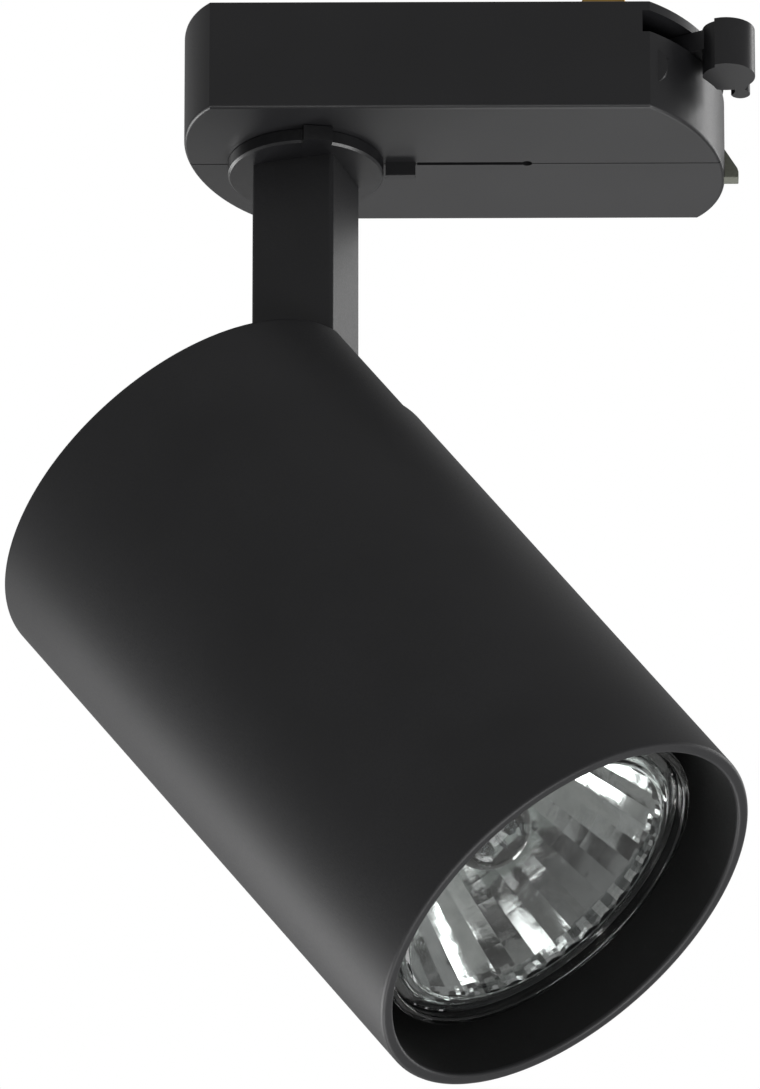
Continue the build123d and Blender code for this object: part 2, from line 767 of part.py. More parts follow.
for number, turn in enumerate(screw_turns, 1):
    seat = radial_plane(turn, tube_screw_z)
    outward = Axis(head_back, tuple(seat.z_dir))
    with BuildPart() as tube_screw:
        with BuildSketch(seat.offset(tube_head_from)):
            Circle(screw_head)
        extrude(amount=tube_head_to - tube_head_from)
        fillet(tube_screw.edges().sort_by(outward)[-1], radius=0.6)
        with BuildSketch(seat.offset(tube_screw_end)):
            Circle(screw_radius)
        extrude(amount=tube_head_from - tube_screw_end)
        with BuildSketch(seat.offset(tube_head_to)):
            RegularPolygon(key_flat, 6, major_radius=False)
        extrude(amount=-key_depth, mode=Mode.SUBTRACT)
    save(tube_screw, f"tube_screw_{number}")

# ---- lampholder -------------------------------------------------------------------------

holder_base = chassis_back + chassis_thickness
holder_face = lamp_foot - 0.2
holder_radius = 13.5
holder_flat_width = 20.0
cavity_floor = 28.9
cavity_roof = 34.6
neck_slot_width = 2.9
contact_width = 4.4
contact_thickness = 0.6
lead_start = 6.0
pin_turns = (90, 270)


def arc_slot(turn, width):
    """One arc slot on the pin circle, from the locked to the released place of a pin."""
    SlotArc(Edge.make_circle(pin_circle, start_angle=turn, end_angle=turn + lamp_twist), width)


def at_pin(turn):
    return (pin_circle * cos(radians(turn)), pin_circle * sin(radians(turn)))


with BuildPart() as lampholder:
    with BuildSketch(head_plane.offset(holder_base)):
        Circle(holder_radius)
        Rectangle(3 * holder_radius, holder_flat_width, mode=Mode.INTERSECT)
    extrude(amount=holder_face - holder_base)
    chamfer(lampholder.faces().sort_by(Axis(head_back, tuple(beam)))[-1].edges(), length=0.6)
    with BuildSketch(head_plane.offset(cavity_floor)):
        for turn in pin_turns:
            arc_slot(turn, 2 * pin_head_radius + 0.6)
    extrude(amount=cavity_roof - cavity_floor, mode=Mode.SUBTRACT)
    with BuildSketch(head_plane.offset(cavity_roof)):
        for turn in pin_turns:
            arc_slot(turn, neck_slot_width)
            with Locations(at_pin(turn + lamp_twist)):
                Circle(pin_head_radius + 0.3)
    extrude(amount=holder_face - cavity_roof, mode=Mode.SUBTRACT)
    with BuildSketch(head_plane.offset(holder_base)):
        for turn in pin_turns:
            with Locations(at_pin(turn + lamp_twist / 2)):
                Circle(lead_radius + 0.1)
        with Locations(*holder_screw_places):
            Circle(screw_hole)
    extrude(amount=cavity_floor - holder_base, mode=Mode.SUBTRACT)
    with BuildSketch(head_plane.offset(cavity_floor)):
        with Locations(*holder_screw_places):
            Circle(screw_head + 0.2)
    extrude(amount=holder_face - cavity_floor, mode=Mode.SUBTRACT)
save(lampholder, "lampholder")

for number, turn in enumerate(pin_turns, 1):
    with BuildPart() as holder_contact:
        with BuildSketch(head_plane.offset(cavity_floor)):
            arc_slot(turn, contact_width)
        extrude(amount=contact_thickness)
    save(holder_contact, f"holder_contact_{number}")
    with BuildPart() as holder_lead:
        with BuildSketch(head_plane.offset(lead_start)):
            with Locations(at_pin(turn + lamp_twist / 2)):
                Circle(lead_radius)
        extrude(amount=cavity_floor - lead_start)
    save(holder_lead, f"holder_lead_{number}")

holder_screw_end = chassis_back - 1.5

for number, place in enumerate(holder_screw_places, 1):
    with BuildPart() as holder_screw:
        with BuildSketch(head_plane.offset(cavity_floor)):
            with Locations(place):
                Circle(screw_head)
        extrude(amount=head_height)
        with BuildSketch(head_plane.offset(holder_screw_end)):
            with Locations(place):
                Circle(screw_radius)
        extrude(amount=cavity_floor - holder_screw_end)
        with BuildSketch(head_plane.offset(cavity_floor + head_height)):
            with Locations(place):
                Rectangle(cross_length, cross_width)
                Rectangle(cross_width, cross_length)
        extrude(amount=-cross_depth, mode=Mode.SUBTRACT)
    save(holder_screw, f"holder_screw_{number}")

# ---- lamp ---------------------------------------------------------------------------------

base_top = 49.6
base_radius = 10.2
neck_radius = 7.4
neck_foot = 45.0
neck_bore = 5.2
glass_back = 81.5
glass_front = 82.7
rim_height = 3.0
seat_radius = 23.8
lamp_plane = Plane(origin=head_back, x_dir=slot_side, z_dir=-head_plane.y_dir)


outer_width, outer_foot = 17.5, 46.5
inner_width, inner_foot = 16.3, 50.0


def dish_outside(along):
    """Outer radius of the reflector, a paraboloid, at a distance from the head's back face."""
    return sqrt(outer_width * (along - outer_foot))


def dish_inside(along):
    """Inner radius of the reflector, a paraboloid, at a distance from the head's back face."""
    return sqrt(inner_width * (along - inner_foot))


dish_start = outer_foot + neck_radius**2 / outer_width
inner_start = inner_foot + neck_bore**2 / inner_width
rim_back = lamp_rim - rim_height


def spread(start, end, count=6):
    return [start + (end - start) * k / (count - 1) for k in range(count)]


# lamp_plane: X is the radius, and the beam runs along its Y
with BuildPart() as reflector:
    with BuildSketch(lamp_plane):
        with BuildLine():
            outer = Spline(*[(dish_outside(z), z) for z in spread(dish_start, rim_back)])
            rim = Polyline(
                outer @ 1, (lamp_radius, rim_back), (lamp_radius, lamp_rim), (seat_radius, lamp_rim),
                (seat_radius, glass_back), (dish_inside(glass_back), glass_back),
            )
            inner = Spline(*[(dish_inside(z), z) for z in spread(glass_back, inner_start)])
            Polyline(inner @ 1, (neck_bore, neck_foot), (neck_radius, neck_foot), outer @ 0)
        make_face()
    revolve(axis=Axis(head_back, tuple(beam)))
save(reflector, "reflector")

with BuildPart() as cover_glass:
    with BuildSketch(head_plane.offset(glass_back)):
        Circle(seat_radius - 0.1)
    extrude(amount=glass_front - glass_back)
save(cover_glass, "cover_glass")

capsule_radius, capsule_inner = 4.6, 3.8
capsule_foot, capsule_tip = 46.0, 76.4
hollow_foot, tip_wall = 56.0, 1.2
filament_radius, filament_foot, filament_length = 0.8, 60.0, 6.0

with BuildPart() as capsule:
    with BuildSketch(head_plane.offset(capsule_foot)):
        Circle(capsule_radius)
    extrude(amount=capsule_tip - capsule_foot)
    fillet(capsule.faces().sort_by(Axis(head_back, tuple(beam)))[-1].edges(), radius=3.2)
    with BuildSketch(head_plane.offset(hollow_foot)):
        Circle(capsule_inner)
    extrude(amount=capsule_tip - tip_wall - hollow_foot, mode=Mode.SUBTRACT)
save(capsule, "capsule")

with BuildPart() as filament:
    with BuildSketch(head_plane.offset(filament_foot)):
        Circle(filament_radius)
    extrude(amount=filament_length)
save(filament, "filament")

with BuildPart() as lamp_base:
    with BuildSketch(head_plane.offset(lamp_foot)):
        Circle(base_radius)
    extrude(amount=base_top - lamp_foot)
    with BuildSketch(head_plane.offset(neck_foot)):
        Circle(neck_radius + 0.05)
    extrude(amount=base_top - neck_foot, mode=Mode.SUBTRACT)
    chamfer(lamp_base.faces().sort_by(Axis(head_back, tuple(beam)))[0].edges(), length=0.8)
save(lamp_base, "lamp_base")

pin_end, pin_neck = 30.0, 32.4
pin_shank_radius = 1.1

for number, turn in enumerate(pin_turns, 1):
    with BuildPart() as lamp_pin:
        with BuildSketch(head_plane.offset(pin_end)):
            with Locations(at_pin(turn)):
                Circle(pin_head_radius)
        extrude(amount=pin_neck - pin_end)
        with BuildSketch(head_plane.offset(pin_neck)):
            with Locations(at_pin(turn)):
                Circle(pin_shank_radius)
        extrude(amount=lamp_foot - pin_neck)
    save(lamp_pin, f"lamp_pin_{number}")
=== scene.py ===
"""The looks of a track spotlight: powder-coated tube, moulded adaptor and pressed-glass reflector lamp.

Metres, in the CAD model's own frame. Every sub-part of the CAD model keeps its place.
"""

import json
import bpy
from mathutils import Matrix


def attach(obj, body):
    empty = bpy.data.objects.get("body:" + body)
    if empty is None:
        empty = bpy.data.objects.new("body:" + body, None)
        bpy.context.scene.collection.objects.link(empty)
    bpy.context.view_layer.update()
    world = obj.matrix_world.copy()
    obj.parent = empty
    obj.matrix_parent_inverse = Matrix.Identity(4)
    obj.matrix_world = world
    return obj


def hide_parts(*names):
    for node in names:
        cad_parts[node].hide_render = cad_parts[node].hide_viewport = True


bl_info = {
    "name": "Track Spotlight",
    "version": (1, 0, 0),
    "blender": (4, 5, 0),
    "location": "View3D > Sidebar > Spotlight",
    "description": "Builds the surfaces and finishes of a track spotlight around its CAD frame",
    "category": "Object",
}

from math import cos, pi, radians, sin

import bmesh
import bpy
import numpy as np
from bpy.props import FloatProperty, FloatVectorProperty, IntProperty, PointerProperty, StringProperty
from mathutils import Vector

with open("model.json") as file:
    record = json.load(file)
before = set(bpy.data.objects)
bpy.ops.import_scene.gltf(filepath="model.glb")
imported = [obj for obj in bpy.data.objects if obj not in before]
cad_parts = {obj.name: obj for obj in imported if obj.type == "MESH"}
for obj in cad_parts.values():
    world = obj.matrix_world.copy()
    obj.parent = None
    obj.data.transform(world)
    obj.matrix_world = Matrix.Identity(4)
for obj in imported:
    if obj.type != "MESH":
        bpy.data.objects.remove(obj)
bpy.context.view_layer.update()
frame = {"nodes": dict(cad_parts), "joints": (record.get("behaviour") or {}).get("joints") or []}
MM = 0.001

# ---- the head's own directions, from the joints ------------------------------------

JOINTS = {joint["name"]: joint for joint in frame["joints"]}


def unit(vector):
    vector = np.array(vector, float)
    return vector / np.linalg.norm(vector)


BEAM = unit(JOINTS["lamp_twist"]["axis"])
CROSS = unit(JOINTS["head_tilt"]["axis"])
SLOT_SIDE = np.cross(CROSS, BEAM)
LAMP_FOOT = 37.0 * MM
HEAD_BACK = np.array(JOINTS["lamp_twist"]["pos_m"]) - LAMP_FOOT * BEAM


def head_points(x, y, z):
    """Head coordinates to the frame: back centre + x slot side + y cross + z beam."""
    x, y, z = np.broadcast_arrays(x, y, z)
    return HEAD_BACK + x[..., None] * SLOT_SIDE + y[..., None] * CROSS + z[..., None] * BEAM


# ---- meshes from arrays ---------------------------------------------------------------


def grid_faces(rows, columns, wrap_rows, wrap_columns):
    """Quads of a grid: corner (i, j) with (i, j + 1), (i + 1, j + 1) and (i + 1, j), wrapped where asked."""
    index = np.arange(rows * columns).reshape(rows, columns)
    right = np.roll(index, -1, axis=1)
    quads = np.stack([index, right, np.roll(right, -1, axis=0), np.roll(index, -1, axis=0)], axis=-1)
    quads = quads if wrap_rows else quads[:-1]
    quads = quads if wrap_columns else quads[:, :-1]
    return quads.reshape(-1, 4)


def new_piece(name, points, faces, crease=35.0):
    """A smooth mesh from points and faces: doubles merged, normals outward, sharp past the crease angle."""
    mesh = bpy.data.meshes.new(name)
    mesh.from_pydata(np.asarray(points).reshape(-1, 3).tolist(), [], np.asarray(faces).tolist())
    work = bmesh.new()
    work.from_mesh(mesh)
    bmesh.ops.remove_doubles(work, verts=work.verts, dist=1e-7)
    bmesh.ops.dissolve_degenerate(work, edges=work.edges, dist=1e-8)
    bmesh.ops.recalc_face_normals(work, faces=work.faces)
    work.to_mesh(mesh)
    work.free()
    mesh.shade_smooth()
    mesh.set_sharp_from_angle(angle=radians(crease))
    piece = bpy.data.objects.new(name, mesh)
    bpy.context.scene.collection.objects.link(piece)
    return piece


def settle(piece, body, material, replaces=()):
    """Gives a piece its finish and its body, and hides the CAD nodes it stands for."""
    if material is not None:
        piece.data.materials.clear()
        piece.data.materials.append(material)
    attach(piece, body)
    if replaces:
        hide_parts(*replaces)


def rounded(corners, radius, steps=5):
    """A closed outline with each corner C eased along (1 - t)^2 A + 2 t (1 - t) C + t^2 B.

    A and B lie on the corner's two sides, radius away from it."""
    corners = np.array(corners, float)
    before, after = np.roll(corners, 1, axis=0) - corners, np.roll(corners, -1, axis=0) - corners
    reach = np.broadcast_to(np.asarray(radius, float), len(corners))
    start = corners + before * (reach / np.linalg.norm(before, axis=1))[:, None]
    end = corners + after * (reach / np.linalg.norm(after, axis=1))[:, None]
    t = np.linspace(0, 1, steps)[None, :, None]
    curve = (1 - t) ** 2 * start[:, None] + 2 * t * (1 - t) * corners[:, None] + t**2 * end[:, None]
    return curve.reshape(-1, 2)


def turned(name, outline, segments, crease, ring=True):
    """A shape turned about the beam: outline point (r, z) goes to (r cos a, r sin a, z) for every angle a.

    A ring's outline closes on itself; a solid's outline starts and ends on the beam."""
    angle = np.linspace(0, 2 * pi, segments, endpoint=False)[None, :]
    radius, along = outline[:, 0][:, None], outline[:, 1][:, None]
    points = head_points(radius * np.cos(angle), radius * np.sin(angle), along)
    return new_piece(name, points, grid_faces(len(outline), segments, ring, True), crease)


def wire(name, path, radius, sides):
    """A round wire: path + radius (cos a N + sin a B), N and B square to the path's direction."""
    path = np.asarray(path, float)
    direction = np.gradient(path, axis=0)
    direction /= np.linalg.norm(direction, axis=1)[:, None]
    guide = np.array([0.31, 0.52, 0.80])
    normal = np.cross(direction, guide)
    normal /= np.linalg.norm(normal, axis=1)[:, None]
    binormal = np.cross(direction, normal)
    angle = np.linspace(0, 2 * pi, sides, endpoint=False)[None, :, None]
    tube = path[:, None] + radius * (np.cos(angle) * normal[:, None] + np.sin(angle) * binormal[:, None])
    # the ends close on the path's first and last points
    start, finish = (np.repeat(end, sides, 1) for end in (path[:1, None], path[-1:, None]))
    tube = np.concatenate([start, tube, finish])
    return new_piece(name, tube, grid_faces(len(tube), sides, False, True), 60.0)


def smooth_copy(node, crease=24.0, ease=0.0):
    """A CAD node's surface, its loose triangles merged, smooth but for sharp edges, which may be eased."""
    source = frame["nodes"][node].data
    count, triangles = len(source.vertices), len(source.polygons)
    points = np.zeros(count * 3, dtype=np.float32)
    source.vertices.foreach_get("co", points)
    corners = np.zeros(triangles * 3, dtype=np.int32)
    source.loops.foreach_get("vertex_index", corners)
    mesh = bpy.data.meshes.new(f"{node}_finish")
    mesh.from_pydata(points.reshape(-1, 3).tolist(), [], corners.reshape(-1, 3).tolist())
    work = bmesh.new()
    work.from_mesh(mesh)
    bmesh.ops.remove_doubles(work, verts=work.verts, dist=2e-7)
    work.to_mesh(mesh)
    work.free()
    mesh.shade_smooth()
    mesh.set_sharp_from_angle(angle=radians(crease))
    piece = bpy.data.objects.new(f"{node}_finish", mesh)
    bpy.context.scene.collection.objects.link(piece)
    if ease:
        bevel = piece.modifiers.new("eased edges", "BEVEL")
        bevel.width, bevel.segments = ease, 2
        bevel.limit_method, bevel.angle_limit = "ANGLE", radians(50)
    weighted = piece.modifiers.new("face weighted normals", "WEIGHTED_NORMAL")
    weighted.keep_sharp = True
    weighted.weight = 90
    return piece


# ---- materials ---------------------------------------------------------------------------


def linear(code):
    """sRGB hex to linear: c / 12.92 up to 0.04045, else ((c + 0.055) / 1.055) ^ 2.4."""
    channels = np.array([int(code[k : k + 2], 16) for k in (1, 3, 5)]) / 255
    low, high = channels / 12.92, ((channels + 0.055) / 1.055) ** 2.4
    return tuple(np.where(channels <= 0.04045, low, high)) + (1.0,)


def add_node(tree, kind, links=None, inputs=None, **settings):
    """Adds one node: settings are its own values, inputs the values of its sockets, links what feeds them."""
    node = tree.nodes.new(kind)
    for key, value in settings.items():
        setattr(node, key, value)
    for key, value in (inputs or {}).items():
        node.inputs[key].default_value = value
    for key, socket in (links or {}).items():
        tree.links.new(socket, node.inputs[key])
    return node


def start_material(name):
    """An empty material's tree with its output and one Principled shader."""
    material = bpy.data.materials.new(name)
    material.use_nodes = True
    tree = material.node_tree
    tree.nodes.clear()
    shader = add_node(tree, "ShaderNodeBsdfPrincipled")
    output = add_node(tree, "ShaderNodeOutputMaterial", links={"Surface": shader.outputs["BSDF"]})
    output.location = (400, 0)
    return material, tree, shader


def ramp(tree, socket, stops):
    """A colour ramp fed by a socket, its stops a list of (position, linear colour)."""
    node = add_node(tree, "ShaderNodeValToRGB", links={"Fac": socket})
    elements = node.color_ramp.elements
    while len(elements) < len(stops):
        elements.new(0.5)
    for element, (position, colour) in zip(elements, stops):
        element.position, element.color = position, colour
    return node


def grained(name, hexes, rough, grain_mm, bump_mm, ior=1.5, metallic=0.0, blotch_mm=18.0, strength=0.35):
    """A solid whose grain is noise: colour runs between two hexes with a slow blotch, roughness between two
    values with the grain, and the same grain raises the surface by bump_mm."""
    material, tree, shader = start_material(name)
    place = add_node(tree, "ShaderNodeTexCoord").outputs["Object"]
    fine = add_node(
        tree,
        "ShaderNodeTexNoise",
        {"Vector": place},
        {"Scale": 1 / (grain_mm * MM), "Detail": 4.0, "Roughness": 0.6},
    )
    slow = add_node(
        tree, "ShaderNodeTexNoise", {"Vector": place}, {"Scale": 1 / (blotch_mm * MM), "Detail": 2.0}
    )
    mixed = add_node(
        tree, "ShaderNodeMath", {0: fine.outputs["Fac"], 1: slow.outputs["Fac"]}, operation="MULTIPLY_ADD"
    )
    mixed.inputs[2].default_value = 0.25
    colour = ramp(tree, mixed.outputs[0], [(0.38, linear(hexes[0])), (0.62, linear(hexes[1]))])
    spread = add_node(
        tree,
        "ShaderNodeMapRange",
        {"Value": fine.outputs["Fac"]},
        {"From Min": 0.3, "From Max": 0.7, "To Min": rough[0], "To Max": rough[1]},
    )
    lift = add_node(
        tree,
        "ShaderNodeBump",
        {"Height": fine.outputs["Fac"]},
        {"Strength": strength, "Distance": bump_mm * MM},
    )
    tree.links.new(colour.outputs["Color"], shader.inputs["Base Color"])
    tree.links.new(spread.outputs["Result"], shader.inputs["Roughness"])
    tree.links.new(lift.outputs["Normal"], shader.inputs["Normal"])
    shader.inputs["IOR"].default_value = ior
    shader.inputs["Metallic"].default_value = metallic
    return material


# how many times longer than wide a drawing line is
LINE_STRETCH = 30


def brushed(name, hexes, rough, line_mm, along):
    """A drawn metal: noise stretched along one direction gives fine lines in roughness and height."""
    material, tree, shader = start_material(name)
    place = add_node(tree, "ShaderNodeTexCoord").outputs["Object"]
    turn = Vector(along).to_track_quat("Z", "Y").to_euler()
    aligned = add_node(
        tree, "ShaderNodeMapping", {"Vector": place}, {"Rotation": turn}, vector_type="TEXTURE"
    )
    scaled = add_node(
        tree,
        "ShaderNodeVectorMath",
        {0: aligned.outputs[0]},
        {1: (1, 1, 1 / LINE_STRETCH)},
        operation="MULTIPLY",
    )
    lines = add_node(
        tree,
        "ShaderNodeTexNoise",
        {"Vector": scaled.outputs[0]},
        {"Scale": 1 / (line_mm * MM), "Detail": 3.0},
    )
    colour = ramp(tree, lines.outputs["Fac"], [(0.3, linear(hexes[0])), (0.7, linear(hexes[1]))])
    spread = add_node(
        tree, "ShaderNodeMapRange", {"Value": lines.outputs["Fac"]}, {"To Min": rough[0], "To Max": rough[1]}
    )
    lift = add_node(
        tree, "ShaderNodeBump", {"Height": lines.outputs["Fac"]}, {"Strength": 0.2, "Distance": 0.01 * MM}
    )
    tree.links.new(colour.outputs["Color"], shader.inputs["Base Color"])
    tree.links.new(spread.outputs["Result"], shader.inputs["Roughness"])
    tree.links.new(lift.outputs["Normal"], shader.inputs["Normal"])
    shader.inputs["Metallic"].default_value = 1.0
    return material


def glassy(name, code, rough, ior, wave_mm, ripple_mm):
    """Pressed or blown glass: clear, with a slow ripple of its surface from noise."""
    material, tree, shader = start_material(name)
    place = add_node(tree, "ShaderNodeTexCoord").outputs["Object"]
    waves = add_node(
        tree, "ShaderNodeTexNoise", {"Vector": place}, {"Scale": 1 / (wave_mm * MM), "Detail": 2.0}
    )
    lift = add_node(
        tree,
        "ShaderNodeBump",
        {"Height": waves.outputs["Fac"]},
        {"Strength": 0.25, "Distance": ripple_mm * MM},
    )
    tree.links.new(lift.outputs["Normal"], shader.inputs["Normal"])
    shader.inputs["Base Color"].default_value = linear(code)
    shader.inputs["Roughness"].default_value = rough
    shader.inputs["IOR"].default_value = ior
    shader.inputs["Transmission Weight"].default_value = 1.0
    return material


MATERIALS = {}


def make_materials(colours):
    """Every finish on the object, from what each real surface is and how it was made."""
    made = {
        # Polyester powder coat, cured on the aluminium tube: matte with a fine orange peel.
        # The real grain is about 0.1 mm; it is drawn at 0.3 mm so that it shows.
        "powder_coat_black": grained(
            "powder_coat_black", ("#1d1d1f", "#262628"), (0.42, 0.52), 0.30, 0.030, ior=1.5, strength=0.5
        ),
        # The same coat inside the bore with painted shade: its colour is darker than the outer coat's, and it
        # is rougher.
        "powder_coat_bore_painted_shade": grained(
            "powder_coat_bore_painted_shade", ("#0d0e0e", "#131414"), (0.60, 0.72), 0.35, 0.030, ior=1.45, strength=0.4
        ),
        # ABS, injection moulded against a spark-eroded tool: an even satin, slightly lighter than the coat.
        "abs_moulded_black": grained(
            "abs_moulded_black", ("#1c1c1e", "#222224"), (0.34, 0.42), 0.25, 0.012, ior=1.54, strength=0.35
        ),
        # Polycarbonate moulding of the swivel disc, polished tool: smoother than the housing.
        "polycarbonate_black": grained(
            "polycarbonate_black", ("#18181a", "#202022"), (0.28, 0.36), 0.5, 0.006, ior=1.58
        ),
        # Acetal, moulded: waxy olive grey.
        "acetal_olive": grained(
            "acetal_olive", ("#5a5c52", "#6a6c62"), (0.38, 0.46), 0.4, 0.01, ior=1.48
        ),
        # Nylon 66, natural: off-white and slightly waxy.
        "nylon_natural": grained(
            "nylon_natural", ("#b9b6a8", "#c8c5b8"), (0.40, 0.5), 0.6, 0.01, ior=1.53
        ),
        # Steatite ceramic, pressed and fired without a glaze: chalky with a fine grit.
        "steatite_fired": grained(
            "steatite_fired", ("#cfcabc", "#dcd8cc"), (0.62, 0.74), 0.22, 0.03, ior=1.55
        ),
        # Zinc-plated steel, drawn: bright grey with faint drawing lines.
        "zinc_plated_steel": brushed(
            "zinc_plated_steel", ("#8f9294", "#b3b6b8"), (0.24, 0.36), 0.18, tuple(BEAM)
        ),
        # Black-oxide screws: dark and slightly oily.
        "black_oxide_steel": grained(
            "black_oxide_steel", ("#26272a", "#34363a"), (0.32, 0.42), 0.2, 0.008, metallic=1.0
        ),
        # Rolled brass strip.
        "rolled_brass": brushed(
            "rolled_brass", ("#a9854a", "#c9a463"), (0.22, 0.34), 0.15, (1.0, 0.0, 0.0)
        ),
        # Vulcanised fibre washer: dull brick red.
        "vulcanised_fibre": grained("vulcanised_fibre", ("#5d2a20", "#74372a"), (0.6, 0.7), 0.3, 0.02),
        # Woven glass sleeve over the leads.
        "glass_sleeve": grained("glass_sleeve", ("#b8b2a2", "#cdc8ba"), (0.55, 0.7), 0.35, 0.05),
        # Nickel-plated lamp pins, turned.
        "nickel_plated_brass": brushed(
            "nickel_plated_brass", ("#a9a79f", "#c6c4bb"), (0.16, 0.26), 0.1, tuple(BEAM)
        ),
        # Borosilicate cover glass, pressed: clear with a slow ripple.
        "borosilicate_pressed": glassy("borosilicate_pressed", "#fcfdfd", 0.015, 1.47, 9.0, 0.02),
        # Quartz burner envelope, blown: clear and wavy.
        "quartz_blown": glassy("quartz_blown", "#f4f8f6", 0.03, 1.46, 4.0, 0.12),
        # Tungsten wire, coiled.
        "tungsten_wire": brushed(
            "tungsten_wire", ("#5a5c60", "#83868a"), (0.3, 0.45), 0.05, (1.0, 0.0, 0.0)
        ),
    }
    # Vacuum-deposited aluminium on pressed glass facets: a nearly neutral mirror, a little hazy.
    mirror, tree, shader = start_material("aluminised_facets")
    place = add_node(tree, "ShaderNodeTexCoord").outputs["Object"]
    haze = add_node(tree, "ShaderNodeTexNoise", {"Vector": place}, {"Scale": 1 / (2.2 * MM), "Detail": 3.0})
    tints = [(0.3, linear(colours.mirror_dark)), (0.7, linear(colours.mirror_light))]
    tint = ramp(tree, haze.outputs["Fac"], tints)
    spread = add_node(
        tree, "ShaderNodeMapRange", {"Value": haze.outputs["Fac"]}, {"To Min": 0.03, "To Max": 0.09}
    )
    lift = add_node(
        tree, "ShaderNodeBump", {"Height": haze.outputs["Fac"]}, {"Strength": 0.3, "Distance": 0.03 * MM}
    )
    tree.links.new(tint.outputs["Color"], shader.inputs["Base Color"])
    tree.links.new(spread.outputs["Result"], shader.inputs["Roughness"])
    tree.links.new(lift.outputs["Normal"], shader.inputs["Normal"])
    shader.inputs["Metallic"].default_value = 1.0
    made["aluminised_facets"] = mirror
    # The back of the pressed dish, seen past the rim: smoky glass with the coating behind it.
    made["dish_back"] = grained("dish_back", ("#131515", "#1d2020"), (0.12, 0.2), 1.2, 0.01, ior=1.5)
    MATERIALS.update(made)


# ---- sizes and colours that a user would change ---------------------------------------------


def length(name, description, default):
    """A length in metres that the sidebar shows."""
    return FloatProperty(
        name=name, description=description, default=default, unit="LENGTH", precision=5, min=0
    )


class SPOT_PG_head(bpy.types.PropertyGroup):
    """Sizes of the tube."""

    radius: length("Radius", "Outer radius of the tube", 30.0 * MM)
    wall: length("Wall", "Wall thickness of the tube", 1.8 * MM)
    tube: length("Length", "Length of the tube", 90.0 * MM)
    edge: length("Edge easing", "How far the tube's edges are eased", 0.6 * MM)
    slot_width: length("Slot width", "Width of the slot for the stem", 12.4 * MM)
    slot_length: length("Slot length", "How far the slot runs from the back edge", 16.0 * MM)


class SPOT_PG_lamp(bpy.types.PropertyGroup):
    """Sizes of the lamp, measured from the head's back face along the beam."""

    rim_radius: length("Rim radius", "Outer radius of the lamp's rim", 25.0 * MM)
    rim_front: length("Rim front", "Where the lamp's rim ends", 83.4 * MM)
    aperture: length("Aperture", "Radius of the coated dish at its mouth", 22.4 * MM)
    glass_back: length("Glass back", "Where the back of the cover glass lies", 81.5 * MM)
    glass_front: length("Glass front", "Where the front of the cover glass lies", 82.7 * MM)
    facets: IntProperty(name="Facets", description="Facets round the dish", default=44, min=12, max=96)
    tiers: IntProperty(name="Tiers", description="Rows of facets from neck to rim", default=17, min=3, max=32)
    burner_radius: length("Burner radius", "Outer radius of the quartz burner", 5.8 * MM)
    burner_tip: length("Burner tip", "Where the tip of the burner lies", 76.4 * MM)


class SPOT_PG_stage(bpy.types.PropertyGroup):
    """Camera and light."""

    distance: length("Distance", "Camera distance from the middle of the spotlight", 2.28)
    lens: FloatProperty(
        name="Lens", description="Focal length in millimetres", default=555.0, min=50, max=900
    )
    elevation: FloatProperty(
        name="Elevation",
        description="Angle above level, negative from below",
        default=radians(-25.7),
        subtype="ANGLE",
    )
    azimuth: FloatProperty(
        name="Azimuth",
        description="Angle of view about the upright axis",
        default=radians(-0.37),
        subtype="ANGLE",
    )
    aim: FloatVectorProperty(
        name="Aim",
        description="Point at the middle of the view",
        default=(0.0102, 0.0, -0.0743),
        subtype="TRANSLATION",
    )
    floor: length("Floor drop", "How far below the track the floor lies", 2.4)
    surround: FloatProperty(
        name="Surround", description="Strength of the room's own soft light", default=0.30, min=0, max=4
    )


class SPOT_PG_colours(bpy.types.PropertyGroup):
    """Colours as sRGB hex values."""

    mirror_dark: StringProperty(
        name="Mirror, dark", description="Darker tint of the coated facets", default="#dcdfde"
    )
    mirror_light: StringProperty(
        name="Mirror, light", description="Lighter tint of the coated facets", default="#f2f4f3"
    )
    floor: StringProperty(name="Floor", description="Colour of the floor", default="#e9e9e7")


# ---- pieces ----------------------------------------------------------------------------------


class SPOT_OT_materials(bpy.types.Operator):
    """Makes every material of the spotlight"""

    bl_idname = "spot.materials"
    bl_label = "Materials"

    def execute(self, context):
        make_materials(context.scene.spot_colours)
        return {"FINISHED"}


